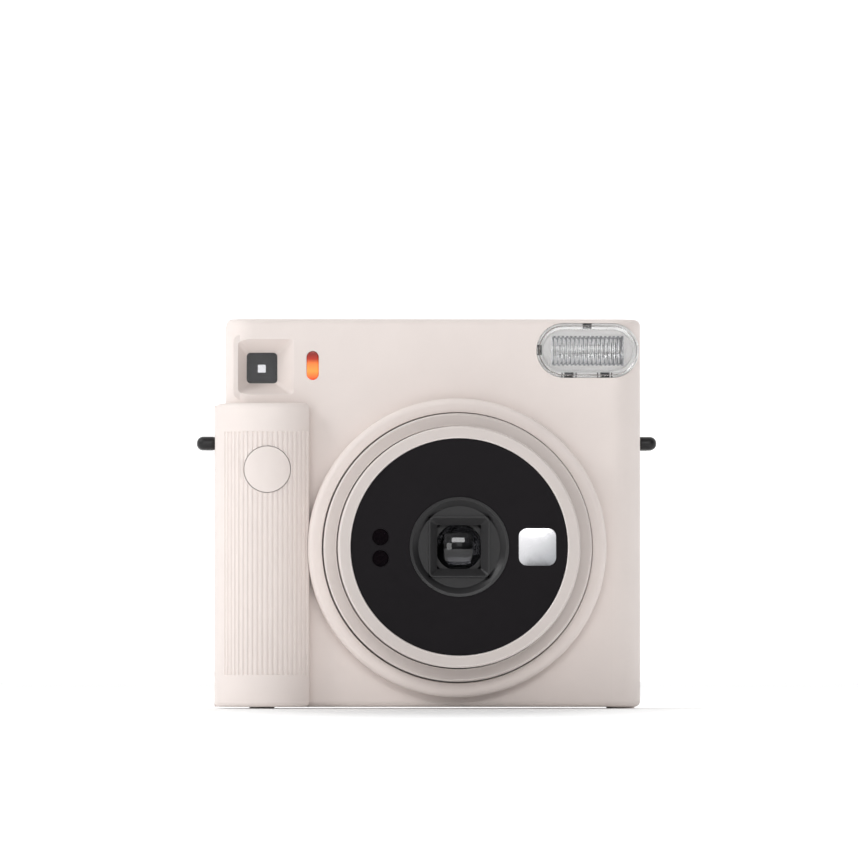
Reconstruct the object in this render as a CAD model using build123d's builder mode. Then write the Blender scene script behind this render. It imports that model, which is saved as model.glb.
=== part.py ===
from build123d import *
import os
from math import cos, radians, sin, sqrt

# Instant camera with a square picture. Millimetres, +Z up.
# The lens faces -Y, +X is to the right for someone in front of the lens.
# Origin: centre of the base, on the surface that the feet stand on.

# ---------------------------------------------------------------- driving dimensions
body_left = -61.5
body_right = 65.5
body_bottom = 0.5
body_top = 119.2
face_y = -7.0
back_y = 33.0
split_y = 9.0
wall = 2.0
front_corner_left = 8.0
front_corner_right = 9.0
back_corner = 7.0
edge_round = 1.8
gap = 0.3

grip_left = -64.9
grip_right = -36.3
grip_top = 93.3
grip_radius = 17.4
grip_centre_x = grip_left + grip_radius
grip_centre_y = 1.4
grip_back = 21.0
grip_seam = -37.9
rib_low = 10.3
rib_high = 84.6
rib_pitch = 1.56
rib_count = 19
rib_start = -56
hollow_radius = 0.5
hollow_depth = 0.4

lens_x = 8.8
lens_z = 49.1
collar_radius = 45.65
collar_front = -15.0
dial_radius = 40.9
dial_front = -21.0
barrel_radius = 36.7
barrel_front = -33.0
barrel_length = 28.0
barrel_wall = 1.9
disc_radius = 32.9

finder_x = -50.6
finder_z = 104.3
finder_window = 9.2
finder_floor_y = -1.0

flash_x = 49.1
flash_z = 109.6
flash_width = 31.4
flash_height = 16.6

lamp_x = -35.2
lamp_z = 104.9

button_x = -49.2
button_z = 73.0
button_radius = 7.0

lug_z = 81.5
lug_y = 15.0
lug_reach = 5.5
lug_thickness = 4.1

back_screw_x = -44.0
back_screw_heights = (14.0, 88.0)
base_screw_y = 22.0
base_screw_places = (-20.0, 36.0)

chamber_left = -33.0
chamber_right = 50.6
chamber_bottom = 5.5
chamber_top = 104.5
chamber_front = 13.0
chamber_back = 29.5
chamber_wall = 1.5
picture_size = 62.0

door_left = -35.5
door_hinge_x = 55.2
door_bottom = 4.5
door_top = 104.5
door_thickness = 2.0
hinge_radius = 1.8

roller_z = 109.4
film_y = 15.4
exit_half_width = 37.6
roller_radius = 3.85
roller_half_gap = 4.0
gear_module = 0.5

battery_x = -53.2
battery_y = 9.7
battery_door_front = 1.4
battery_door_back = 18.0
battery_door_bottom = 10.0
battery_door_top = 78.8
battery_hinge_x = grip_left + 1.6
battery_hinge_z = battery_door_bottom + 1.6

counter_x = -49.0
counter_z = 62.0


# ---------------------------------------------------------------- helpers
def facing(y, x=0.0, z=0.0):
    """Plane at depth y that looks out of the front: local x is +X, local y is +Z."""
    return Plane(origin=(x, y, z), x_dir=(1, 0, 0), z_dir=(0, -1, 0))


def block(low, high, mode=Mode.ADD):
    """Box between two opposite corners."""
    with Locations([tuple((a + b) / 2 for a, b in zip(low, high))]):
        Box(*[b - a for a, b in zip(low, high)], mode=mode)


def rod_y(x, z, front, back, radius, mode=Mode.ADD):
    """Round bar along Y."""
    with Locations([(x, (front + back) / 2, z)]):
        Cylinder(radius, back - front, rotation=(90, 0, 0), mode=mode)


def rod_x(y, z, low, high, radius, mode=Mode.ADD):
    """Round bar along X."""
    with Locations([((low + high) / 2, y, z)]):
        Cylinder(radius, high - low, rotation=(0, 90, 0), mode=mode)


def rod_z(x, y, low, high, radius, mode=Mode.ADD):
    """Round bar along Z."""
    with Locations([(x, y, (low + high) / 2)]):
        Cylinder(radius, high - low, mode=mode)


def outline(z, left, right, front, back, front_radii=(0, 0), back_radii=(0, 0)):
    """Horizontal rectangle whose four corners have radii of their own, left one first."""
    with BuildSketch(Plane.XY.offset(z)) as sketch:
        with Locations([((left + right) / 2, (front + back) / 2)]):
            Rectangle(right - left, back - front)
        for row, radii in ((front, front_radii), (back, back_radii)):
            for corner_x, radius in zip((left, right), radii):
                if radius:
                    corner = sketch.vertices().sort_by_distance((corner_x, row, 0))[0]
                    fillet(corner, radius=radius)
    return sketch.sketch


def grip_section(z, radius, front_right, back, right):
    """Grip cross-section: a round front that runs into a flat side."""
    reach = front_right - grip_centre_x
    front_right_y = grip_centre_y - sqrt(radius**2 - reach**2)
    left = grip_centre_x - radius
    corners = [(left, grip_centre_y), (left, back), (right, back), (right, face_y)]
    if front_right != right:
        corners.append((front_right, face_y))
    corners.append((front_right, front_right_y))
    with BuildSketch(Plane.XY.offset(z)) as sketch:
        with BuildLine():
            ThreePointArc(
                (front_right, front_right_y),
                (grip_centre_x, grip_centre_y - radius),
                (left, grip_centre_y),
            )
            Polyline(*corners)
        make_face()
    return sketch.sketch


def turned(points, rounds=()):
    """Ring turned about the lens axis from (radius, y) points; rounds are (point, fillet)."""
    axis_plane = Plane(origin=(lens_x, 0, lens_z), x_dir=(1, 0, 0), z_dir=(0, 0, 1))
    with BuildPart() as ring:
        with BuildSketch(axis_plane) as profile:
            with BuildLine():
                Polyline(*points, close=True)
            make_face()
            for (radius, y), size in rounds:
                corner = profile.vertices().sort_by_distance((radius, y, 0))[0]
                fillet(corner, radius=size)
        revolve(axis=Axis((lens_x, 0, lens_z), (0, 1, 0)))
    return ring.part


def gear(teeth, phase, thickness, bore, plane):
    """Spur gear with straight-sided teeth; phase is the angle of one tooth, in degrees."""
    pitch_radius = gear_module * teeth / 2
    root = pitch_radius - 1.15 * gear_module
    tip = pitch_radius + 0.85 * gear_module
    root_half = 360 / teeth * 0.30
    tip_half = 360 / teeth * 0.11
    corners = []
    for tooth in range(teeth):
        middle = phase + 360 / teeth * tooth
        flanks = ((root, -root_half), (tip, -tip_half), (tip, tip_half), (root, root_half))
        for radius, shift in flanks:
            angle = radians(middle + shift)
            corners.append((radius * cos(angle), radius * sin(angle)))
    with BuildPart() as wheel:
        with BuildSketch(plane):
            with BuildLine():
                Polyline(*corners, close=True)
            make_face()
            if bore:
                Circle(bore, mode=Mode.SUBTRACT)
        extrude(amount=thickness)
    return wheel.part


def rim_edges(part, z, back):
    """Edges of a shell's top or bottom rim, apart from the one on the joint plane."""
    return [
        edge
        for edge in part.edges()
        if abs(edge.center().Z - z) < 0.01 and edge.center().Y < back - 0.01
    ]


# ---------------------------------------------------------------- casings
with BuildPart() as front_cover:
    corners = (front_corner_left, front_corner_right)
    extrude(
        outline(body_bottom, body_left, body_right, face_y, split_y, corners),
        amount=body_top - body_bottom,
    )
    for rim_z in (body_top, body_bottom):
        fillet(rim_edges(front_cover, rim_z, split_y), radius=edge_round)
    inner_corners = (front_corner_left - wall, front_corner_right - wall)
    extrude(
        outline(
            body_bottom + wall,
            body_left + wall,
            body_right - wall,
            face_y + wall,
            split_y,
            inner_corners,
        ),
        amount=body_top - body_bottom - 2 * wall,
        mode=Mode.SUBTRACT,
    )
    # room for the grip cover, which closes this corner
    block(
        (body_left - 1, face_y - 1, body_bottom - 1),
        (grip_seam + 0.1, split_y + 1, grip_top + 0.1),
        Mode.SUBTRACT,
    )
    # walls of the viewfinder funnel
    with BuildSketch(facing(face_y + 1, -49.6, finder_z + 0.1)):
        RectangleRounded(19.6, 19.6, 2)
    with BuildSketch(facing(finder_floor_y + 1.4, finder_x, finder_z)):
        RectangleRounded(12.4, 12.4, 1.6)
    loft()
    with BuildSketch(facing(face_y, -49.8, finder_z + 0.2)):
        RectangleRounded(17.6, 17.1, 1.2)
    with BuildSketch(facing(finder_floor_y, finder_x, finder_z)):
        RectangleRounded(finder_window + 0.2, finder_window + 0.2, 1.2)
    loft(mode=Mode.SUBTRACT)
    with BuildSketch(facing(finder_floor_y + 2, finder_x, finder_z)):
        RectangleRounded(finder_window + 0.2, finder_window + 0.2, 1.2)
    extrude(amount=2, mode=Mode.SUBTRACT)
    # lens opening, indicator slot and flash opening
    rod_y(lens_x, lens_z, face_y - 1, face_y + wall + 1, dial_radius + 0.4, Mode.SUBTRACT)
    with BuildSketch(facing(face_y + wall + 1, lamp_x, lamp_z)):
        SlotOverall(8.9, 3.8, rotation=90)
    extrude(amount=4, mode=Mode.SUBTRACT)
    with BuildSketch(facing(0.6, flash_x, flash_z)):
        SlotOverall(flash_width + 0.2, flash_height + 0.2)
    extrude(amount=9, mode=Mode.SUBTRACT)

with BuildPart() as rear_cover:
    corners = (back_corner, back_corner)
    extrude(
        outline(body_bottom, body_left, body_right, split_y, back_y, (0, 0), corners),
        amount=body_top - body_bottom,
    )
    back_rims = [
        edge
        for edge in rear_cover.edges()
        if edge.center().Y > split_y + 0.01
        and (abs(edge.center().Z - body_top) < 0.01 or abs(edge.center().Z - body_bottom) < 0.01)
    ]
    fillet(back_rims, radius=edge_round)
    # hand bulge behind the grip
    extrude(
        outline(body_bottom, grip_left, body_left + 12, grip_back, back_y - 1, (0, 0), (9, 0)),
        amount=grip_top - body_bottom,
    )
    extrude(
        outline(
            body_bottom + wall,
            body_left + wall,
            body_right - wall,
            split_y,
            back_y - wall,
            (0, 0),
            (back_corner - wall, back_corner - wall),
        ),
        amount=body_top - body_bottom - 2 * wall,
        mode=Mode.SUBTRACT,
    )
    block(
        (grip_left - 1, split_y - 1, body_bottom - 1),
        (grip_seam + 0.1, grip_back, grip_top + 0.1),
        Mode.SUBTRACT,
    )
    # opening for the film door, with a channel for its hinge
    block(
        (door_left - gap, back_y - 3, door_bottom - gap),
        (door_hinge_x + hinge_radius + gap, back_y + 1, door_top + gap),
        Mode.SUBTRACT,
    )
    # bosses that hold the hinge pin, above and below the door
    for low, high in ((1.5, door_bottom - gap), (door_top + gap, 107.5)):
        block((door_hinge_x - 2, 28.5, low), (door_hinge_x + 2, 32.5, high))
        rod_z(door_hinge_x, back_y - hinge_radius, low, high, 0.83, Mode.SUBTRACT)
    # film exit slot, viewfinder opening, counter opening
    block(
        (lens_x - exit_half_width, film_y - 1.7, body_top - 3),
        (lens_x + exit_half_width, film_y + 1.7, body_top + 1),
        Mode.SUBTRACT,
    )
    with BuildSketch(facing(back_y + 1, finder_x, finder_z)):
        RectangleRounded(14.2, 12.2, 2)
    extrude(amount=6, mode=Mode.SUBTRACT)
    with BuildSketch(facing(back_y + 1, counter_x, counter_z)):
        RectangleRounded(6.2, 5.2, 0.8)
    extrude(amount=4, mode=Mode.SUBTRACT)
    # screw seats in the back and the base
    for seat_z in back_screw_heights:
        rod_y(back_screw_x, seat_z, back_y - 1.2, back_y + 1, 2.1, Mode.SUBTRACT)
        rod_y(back_screw_x, seat_z, back_y - 3, back_y, 1.1, Mode.SUBTRACT)
    for seat_x in base_screw_places:
        rod_z(seat_x, base_screw_y, body_bottom - 1, body_bottom + 1.2, 2.1, Mode.SUBTRACT)
        rod_z(seat_x, base_screw_y, body_bottom, body_bottom + 3, 1.1, Mode.SUBTRACT)

with BuildPart() as grip_cover:
    extrude(
        grip_section(body_bottom, grip_radius, grip_right, grip_back, grip_seam),
        amount=grip_top - body_bottom,
    )
    front_edge = grip_cover.edges().filter_by(Axis.Z).sort_by(Axis.Y)[0]
    fillet(front_edge, radius=0.8)
    rims = [
        edge
        for edge in grip_cover.edges()
        if (abs(edge.center().Z - grip_top) < 0.01 or abs(edge.center().Z - body_bottom) < 0.01)
        and edge.center().Y < grip_back - 0.01
        and (edge.center().Y < face_y - 0.01 or edge.center().X < grip_left + 0.01)
    ]
    fillet(rims, radius=1.6)
    extrude(
        grip_section(body_bottom + wall, grip_radius - wall, grip_seam, grip_back, grip_seam),
        amount=grip_top - body_bottom - 2 * wall,
        mode=Mode.SUBTRACT,
    )
    # the lens collar passes in front of the grip's inner edge
    rod_y(lens_x, lens_z, collar_front - 1, face_y, collar_radius + 0.1, Mode.SUBTRACT)
    # shallow hollows between the ribs
    rib_turn = rib_pitch / grip_radius
    for rib in range(rib_count):
        angle = radians(rib_start) + rib * rib_turn
        reach = grip_radius + hollow_radius - hollow_depth
        rod_z(
            grip_centre_x + reach * sin(angle),
            grip_centre_y - reach * cos(angle),
            rib_low,
            rib_high,
            hollow_radius,
            Mode.SUBTRACT,
        )
    # smooth seat and guide for the shutter button
    rod_y(button_x, button_z, -13.2, -8, button_radius + 1.6)
    rod_y(button_x, button_z, -17, -7, button_radius + 0.2, Mode.SUBTRACT)
    # battery opening and the bosses of its hinge pin
    block(
        (grip_left - 1, battery_door_front - gap, battery_door_bottom - gap),
        (grip_left + wall + 1, battery_door_back + gap, battery_door_top + gap),
        Mode.SUBTRACT,
    )
    for low, high in ((-0.8, battery_door_front - gap), (battery_door_back + gap, 20.2)):
        block(
            (battery_hinge_x - 1.0, low, battery_hinge_z - 1.7),
            (battery_hinge_x + 1.6, high, battery_hinge_z + 1.7),
        )
        rod_y(battery_hinge_x, battery_hinge_z, low, high, 0.65, Mode.SUBTRACT)

with BuildPart() as lens_collar:
    add(
        turned(
            [
                (dial_radius + 0.4, face_y),
                (collar_radius, face_y),
                (collar_radius, collar_front),
                (dial_radius + 0.4, collar_front),
            ],
            [((collar_radius, collar_front), 2.0), ((dial_radius + 0.4, collar_front), 0.25)],
        )
    )

with BuildPart() as dial_retainer:
    add(turned([(barrel_radius + 1.8, -2.6), (46, -2.6), (46, -1.2), (barrel_radius + 1.8, -1.2)]))
    # tabs that reach the front cover beside the dial's flange
    for turn in (45, 135, 225, 315):
        tab_x = lens_x + 45.2 * cos(radians(turn))
        tab_z = lens_z + 45.2 * sin(radians(turn))
        rod_y(tab_x, tab_z, face_y + wall, -1.2, 1.1)

with BuildPart() as base_feet:
    for foot_x in (-50.4, 60.0):
        for foot_y in (2.0, 26.0):
            with BuildSketch(Plane((foot_x, foot_y, 0))):
                RectangleRounded(7.3, 6.0, 1.5)
            extrude(amount=body_bottom)

with BuildPart() as case_screws:
    for seat_z in back_screw_heights:
        rod_y(back_screw_x, seat_z, back_y - 1.2, back_y - 0.2, 1.9)
        rod_y(back_screw_x, seat_z, back_y - 5, back_y - 1.2, 0.95)
        rod_y(back_screw_x, seat_z, back_y - 0.7, back_y, 0.8, Mode.SUBTRACT)
    for seat_x in base_screw_places:
        rod_z(seat_x, base_screw_y, body_bottom + 0.2, body_bottom + 1.2, 1.9)
        rod_z(seat_x, base_screw_y, body_bottom + 1.2, body_bottom + 4.6, 0.95)
        rod_z(seat_x, base_screw_y, body_bottom, body_bottom + 0.7, 0.8, Mode.SUBTRACT)


# ---------------------------------------------------------------- strap lugs
def strap_lug(side, wall_x):
    """Loop for a strap: a flat ring with round edges that stands out of the wall at wall_x."""
    with BuildPart() as lug:
        with BuildSketch(Plane((wall_x, lug_y, lug_z - lug_thickness / 2))):
            with Locations([(side * (lug_reach - 1) / 2, 0)]):
                RectangleRounded(lug_reach + 1, 11, 2.2)
        extrude(amount=lug_thickness)
        for face in (lug.faces().sort_by(Axis.Z)[0], lug.faces().sort_by(Axis.Z)[-1]):
            fillet(face.edges(), radius=1.9)
        inner = (wall_x - side * 2, wall_x)
        block((min(inner), lug_y - 8, lug_z - 4), (max(inner), lug_y + 8, lug_z + 4), Mode.SUBTRACT)
        with BuildSketch(Plane((wall_x, lug_y, lug_z - 4))):
            with Locations([(side * 1.6, 0)]):
                RectangleRounded(2.4, 6.4, 1.0)
        extrude(amount=8, mode=Mode.SUBTRACT)
    return lug


strap_lug_left = strap_lug(-1, grip_left)
strap_lug_right = strap_lug(1, body_right)

# ---------------------------------------------------------------- viewfinder, indicator
with BuildPart() as viewfinder_window:
    with BuildSketch(facing(finder_floor_y + 1.2, finder_x, finder_z)):
        RectangleRounded(finder_window, finder_window, 1.1)
    extrude(amount=1.2)

with BuildPart() as viewfinder_tunnel:
    with BuildSketch(facing(29.5, finder_x, finder_z)):
        RectangleRounded(12, 11.4, 1.2)
    extrude(amount=28.9)
    with BuildSketch(facing(29.5, finder_x, finder_z)):
        RectangleRounded(9.6, 9.0, 0.6)
    extrude(amount=28.9, mode=Mode.SUBTRACT)
    # field stop
    with BuildSketch(facing(6, finder_x, finder_z)):
        Rectangle(10, 9.4)
        Rectangle(2.4, 2.4, mode=Mode.SUBTRACT)
    extrude(amount=0.8)

with BuildPart() as eyepiece_frame:
    with BuildSketch(facing(back_y, finder_x, finder_z)):
        RectangleRounded(14, 12, 1.9)
        RectangleRounded(8.4, 6.4, 1.0, mode=Mode.SUBTRACT)
    extrude(amount=1.6)
    with BuildSketch(facing(31.4, finder_x, finder_z)):
        RectangleRounded(14, 12, 1.9)
        RectangleRounded(10.4, 8.4, 1.0, mode=Mode.SUBTRACT)
    extrude(amount=1.8)

with BuildPart() as eyepiece_lens:
    with BuildSketch(facing(31.3, finder_x, finder_z)):
        RectangleRounded(10.2, 8.2, 0.9)
    extrude(amount=1.6)

with BuildPart() as indicator_window:
    with BuildSketch(facing(face_y + 1.8, lamp_x, lamp_z)):
        SlotOverall(8.7, 3.6, rotation=90)
    extrude(amount=1.9)
    fillet(indicator_window.faces().sort_by(Axis.Y)[0].edges(), radius=0.4)

with BuildPart() as indicator_lamp:
    with BuildSketch(facing(-3.6, lamp_x, lamp_z)):
        RectangleRounded(3.0, 5.0, 0.5)
    extrude(amount=1.3)

# ---------------------------------------------------------------- flash
window_skin = 1.5
tube_y = 1.4
tube_z = flash_z + 0.2

with BuildPart() as flash_hollow:
    extrude(
        outline(
            90,
            0,
            body_right - window_skin,
            face_y - 0.3 + window_skin,
            8,
            (0, front_corner_right - window_skin),
        ),
        amount=30,
    )
    with BuildSketch(facing(8, flash_x, flash_z)):
        SlotOverall(flash_width - 3.0, flash_height - 3.0)
    extrude(amount=20, mode=Mode.INTERSECT)

with BuildPart() as flash_window:
    extrude(
        outline(90, 0, body_right, face_y - 0.3, 8, (0, front_corner_right)),
        amount=30,
    )
    with BuildSketch(facing(0.4, flash_x, flash_z)):
        SlotOverall(flash_width, flash_height)
    extrude(amount=12, mode=Mode.INTERSECT)
    add(flash_hollow.part, mode=Mode.SUBTRACT)

with BuildPart() as flash_holder:
    with BuildSketch(facing(-2.2, flash_x, flash_z)):
        SlotOverall(flash_width - 3.4, flash_height - 3.4)
        Rectangle(22.6, 9.4, mode=Mode.SUBTRACT)
    extrude(amount=1.0)
    extrude(
        outline(
            90,
            0,
            body_right - window_skin - 0.2,
            -4,
            8,
            (0, front_corner_right - window_skin - 0.2),
        ),
        amount=30,
        mode=Mode.INTERSECT,
    )

with BuildPart() as flash_reflector:
    # trough with a rounded back, open to the front
    with BuildSketch(Plane.YZ.offset(flash_x - 11.2)):
        with BuildLine():
            Line((-3.0, flash_z + 4.6), (-3.0, flash_z - 4.6))
            Bezier((-3.0, flash_z - 4.6), (4.5, flash_z - 4.6), (5.2, flash_z - 2), (5.2, flash_z))
            Bezier((5.2, flash_z), (5.2, flash_z + 2), (4.5, flash_z + 4.6), (-3.0, flash_z + 4.6))
        make_face()
    extrude(amount=22.4)
    with BuildSketch(Plane.YZ.offset(flash_x - 10.8)):
        with BuildLine():
            Line((-3.1, flash_z + 4.2), (-3.1, flash_z - 4.2))
            Bezier((-3.1, flash_z - 4.2), (4.1, flash_z - 4.2), (4.8, flash_z - 2), (4.8, flash_z))
            Bezier((4.8, flash_z), (4.8, flash_z + 2), (4.1, flash_z + 4.2), (-3.1, flash_z + 4.2))
        make_face()
    extrude(amount=21.6, mode=Mode.SUBTRACT)
    rod_x(tube_y, tube_z, flash_x - 12, flash_x + 12, 1.75, Mode.SUBTRACT)

with BuildPart() as flash_tube:
    rod_x(tube_y, tube_z, flash_x - 11.9, flash_x + 11.9, 1.55)

with BuildPart() as flash_capacitor:
    rod_z(57.6, 6, 8, 46, 4.6)
    fillet(flash_capacitor.edges().filter_by(GeomType.CIRCLE), radius=0.8)

# ---------------------------------------------------------------- lens dial and barrel
with BuildPart() as lens_dial:
    add(
        turned(
            [
                (barrel_radius + gap, dial_front),
                (dial_radius, dial_front),
                (dial_radius, -4.7),
                (43.6, -4.7),
                (43.6, -2.9),
                (barrel_radius + gap, -2.9),
            ],
            [((dial_radius, dial_front), 0.6), ((barrel_radius + gap, dial_front), 0.25)],
        )
    )

inner_radius = barrel_radius - barrel_wall
with BuildPart() as barrel:
    add(
        turned(
            [
                (disc_radius + 0.1, barrel_front),
                (barrel_radius, barrel_front),
                (barrel_radius, barrel_front + barrel_length),
                (inner_radius, barrel_front + barrel_length),
                (inner_radius, barrel_front + 10.2),
                (29.0, barrel_front + 10.2),
                (29.0, barrel_front + 8.8),
                (inner_radius, barrel_front + 8.8),
                (inner_radius, barrel_front + 3.6),
                (31.0, barrel_front + 3.6),
                (31.0, barrel_front + 2.4),
                (disc_radius + 0.1, barrel_front + 2.4),
            ],
            [((barrel_radius, barrel_front), 0.6), ((disc_radius + 0.1, barrel_front), 0.3)],
        )
    )

mirror_x = lens_x + 23.75
sensor_x = lens_x - 23.9
sensor_heights = (lens_z + 3.0, lens_z - 3.5)
with BuildPart() as front_disc:
    rod_y(lens_x, lens_z, barrel_front + 0.8, barrel_front + 2.3, disc_radius)
    rod_y(lens_x, lens_z, barrel_front, barrel_front + 3, 15.2, Mode.SUBTRACT)
    with BuildSketch(facing(barrel_front + 3, mirror_x, lens_z)):
        RectangleRounded(11.5, 11.5, 2.6)
    extrude(amount=3, mode=Mode.SUBTRACT)
    for sensor_z in sensor_heights:
        rod_y(sensor_x, sensor_z, barrel_front, barrel_front + 3, 2.55, Mode.SUBTRACT)

with BuildPart() as lens_ring:
    # dish with a sloping rim and a flat floor around the square hood
    add(
        turned(
            [
                (0, barrel_front + 1.8),
                (12.4, barrel_front + 1.8),
                (14.2, barrel_front + 0.5),
                (15.1, barrel_front + 0.4),
                (15.1, barrel_front + 3.0),
                (0, barrel_front + 3.0),
            ]
        )
    )
    with BuildSketch(facing(barrel_front + 4, lens_x, lens_z)):
        Rectangle(18.5, 18.5)
    extrude(amount=4, mode=Mode.SUBTRACT)

hood_half = 9.2
hood_hole_half = 6.65
with BuildPart() as lens_hood:
    with BuildSketch(facing(barrel_front + 3.4, lens_x, lens_z)):
        RectangleRounded(2 * hood_half, 2 * hood_half, 1.5)
    extrude(amount=2.6)
    with BuildSketch(facing(barrel_front + 0.8, lens_x, lens_z)):
        RectangleRounded(2 * hood_half - 0.8, 2 * hood_half - 0.8, 1.2)
    with BuildSketch(facing(barrel_front + 2.6, lens_x, lens_z)):
        RectangleRounded(2 * hood_hole_half, 2 * hood_hole_half, 0.2)
    loft(mode=Mode.SUBTRACT)
    with BuildSketch(facing(barrel_front + 4, lens_x, lens_z)):
        Rectangle(2 * hood_hole_half, 2 * hood_hole_half)
    extrude(amount=2, mode=Mode.SUBTRACT)

with BuildPart() as selfie_mirror:
    with BuildSketch(facing(barrel_front + 2.2, mirror_x, lens_z)):
        RectangleRounded(11.3, 11.3, 2.5)
    extrude(amount=1.8)
    fillet(selfie_mirror.faces().sort_by(Axis.Y)[0].edges(), radius=0.3)

with BuildPart() as sensor_windows:
    for sensor_z in sensor_heights:
        rod_y(sensor_x, sensor_z, barrel_front + 1.3, barrel_front + 2.3, 2.45)

leaf_y = barrel_front + 3.8
leaf_thickness = 0.5


def cover_leaf(side):
    """One half of the lens cover, slid aside when the lens is out."""
    near = lens_x + side * (hood_hole_half + 0.4)
    far = lens_x + side * (hood_hole_half + 8.0)
    with BuildPart() as leaf:
        block(
            (min(near, far), leaf_y, lens_z - 7.6),
            (max(near, far), leaf_y + leaf_thickness, lens_z + 7.6),
        )
        block(
            (min(far, far - side * 1.2), leaf_y + leaf_thickness, lens_z - 1.5),
            (max(far, far - side * 1.2), leaf_y + leaf_thickness + 1.2, lens_z + 1.5),
        )
    return leaf


cover_leaf_left = cover_leaf(-1)
cover_leaf_right = cover_leaf(1)

shutter_y = barrel_front + 10.3
with BuildPart() as shutter_plate:
    rod_y(lens_x, lens_z, shutter_y, shutter_y + 1.2, inner_radius - 0.1)
    rod_y(lens_x, lens_z, shutter_y - 4.6, shutter_y, 8.6)
    rod_y(lens_x, lens_z, shutter_y - 5, shutter_y, 7.2, Mode.SUBTRACT)
    rod_y(lens_x, lens_z, shutter_y - 1, shutter_y + 2, 3.0, Mode.SUBTRACT)
    # posts and bridge that carry the rear lens
    for turn in (30, 150, 270):
        post_x = lens_x + 16 * cos(radians(turn))
        post_z = lens_z + 16 * sin(radians(turn))
        rod_y(post_x, post_z, shutter_y + 1.2, shutter_y + 3.2, 1.3)
    rod_y(lens_x, lens_z, shutter_y + 3.2, shutter_y + 4.2, 18)
    rod_y(lens_x, lens_z, shutter_y + 4.2, shutter_y + 7.2, 7.0)
    rod_y(lens_x, lens_z, shutter_y + 4.2, shutter_y + 8, 5.3, Mode.SUBTRACT)
    rod_y(lens_x, lens_z, shutter_y + 3, shutter_y + 5, 4.0, Mode.SUBTRACT)

with BuildPart() as front_lens:
    rod_y(lens_x, lens_z, shutter_y - 4.2, shutter_y - 0.6, 7.1)
    fillet(front_lens.faces().sort_by(Axis.Y)[0].edges(), radius=1.6)

with BuildPart() as rear_lens:
    rod_y(lens_x, lens_z, shutter_y + 4.3, shutter_y + 6.8, 5.2)
    fillet(rear_lens.faces().sort_by(Axis.Y)[-1].edges(), radius=1.0)

blade_y = shutter_y + 1.8
blade_pivot_x = lens_x + 11.0
blade_pivot_z = lens_z + 3.0
with BuildPart() as shutter_blade:
    with BuildSketch(facing(blade_y + 0.3, lens_x, lens_z)):
        Circle(4.2)
        with Locations([(6.0, 1.6)]):
            Rectangle(10, 3.0, rotation=15)
        with Locations([(11.0, 3.0)]):
            Circle(2.4)
    extrude(amount=0.3)
    rod_y(blade_pivot_x, blade_pivot_z, shutter_y + 1.3, shutter_y + 3.1, 0.8)

with BuildPart() as shutter_solenoid:
    block(
        (lens_x - 21, shutter_y + 1.2, lens_z - 26),
        (lens_x - 9, shutter_y + 9.0, lens_z - 18.5),
    )
    rod_x(shutter_y + 7, lens_z - 22, lens_x - 9, lens_x - 4, 1.2)

# ---------------------------------------------------------------- shutter button
with BuildPart() as shutter_button:
    rod_y(button_x, button_z, -17, -7.6, button_radius)
    # the top follows the round front of the grip
    extrude(
        grip_section(button_z - 12, grip_radius + 0.12, grip_right - 0.4, grip_back, grip_seam),
        amount=24,
        mode=Mode.INTERSECT,
    )
    rod_y(button_x, button_z, -7.6, -6.8, button_radius + 1.3)
    rod_y(button_x, button_z, -6.8, -5.2, 1.4)

with BuildPart() as shutter_spring:
    spring_rise = 2.6
    with BuildLine() as spring_path:
        Helix(
            pitch=1.3,
            height=spring_rise,
            radius=4.2,
            center=(button_x, -3.95, button_z),
            direction=(0, -1, 0),
        )
    with BuildSketch(Plane(origin=spring_path.line @ 0, z_dir=spring_path.line % 0)):
        Circle(0.22)
    sweep()

with BuildPart() as shutter_switch:
    block((button_x - 6, -3.6, button_z - 6), (button_x + 6, -2.6, button_z + 6))
    rod_y(button_x, button_z, -3.6, -3.2, 2.0)

# ---------------------------------------------------------------- film chamber
inner_left = chamber_left + chamber_wall
inner_right = chamber_right - chamber_wall
inner_bottom = chamber_bottom + chamber_wall
inner_top = chamber_top - chamber_wall
inner_front = chamber_front + chamber_wall
claw_x = -28.5

with BuildPart() as film_chamber:
    block(
        (chamber_left, chamber_front, chamber_bottom),
        (chamber_right, chamber_back, chamber_top),
    )
    block(
        (inner_left, inner_front, inner_bottom),
        (inner_right, chamber_back + 1, inner_top),
        Mode.SUBTRACT,
    )
    half = picture_size / 2
    block(
        (lens_x - half, chamber_front - 1, lens_z - half),
        (lens_x + half, inner_front + 1, lens_z + half),
        Mode.SUBTRACT,
    )
    block(
        (lens_x - exit_half_width + 0.6, film_y - 0.7, inner_top - 1),
        (lens_x + exit_half_width - 0.6, film_y + 1.3, chamber_top + 1),
        Mode.SUBTRACT,
    )
    # slot for the claw that pushes the picture out
    block((claw_x - 1.8, chamber_front - 1, 8.5), (claw_x + 1.8, inner_front + 1, 20), Mode.SUBTRACT)

cone_front_y = 4.6
cone_front_half = 25.5
with BuildPart() as light_cone:
    with BuildSketch(facing(chamber_front, lens_x, lens_z)):
        RectangleRounded(picture_size + 3, picture_size + 3, 3)
    with BuildSketch(facing(cone_front_y, lens_x, lens_z)):
        RectangleRounded(2 * cone_front_half + 3, 2 * cone_front_half + 3, 3)
    loft()
    with BuildSketch(facing(chamber_front, lens_x, lens_z)):
        RectangleRounded(picture_size, picture_size, 1.5)
    with BuildSketch(facing(cone_front_y, lens_x, lens_z)):
        RectangleRounded(2 * cone_front_half, 2 * cone_front_half, 1.5)
    loft(mode=Mode.SUBTRACT)

with BuildPart() as pick_claw:
    block((claw_x - 1.4, 11.6, 9.5), (claw_x + 1.4, 12.2, 44))
    block((claw_x - 1.4, 12.2, 9.5), (claw_x + 1.4, 15.1, 10.3))

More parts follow.
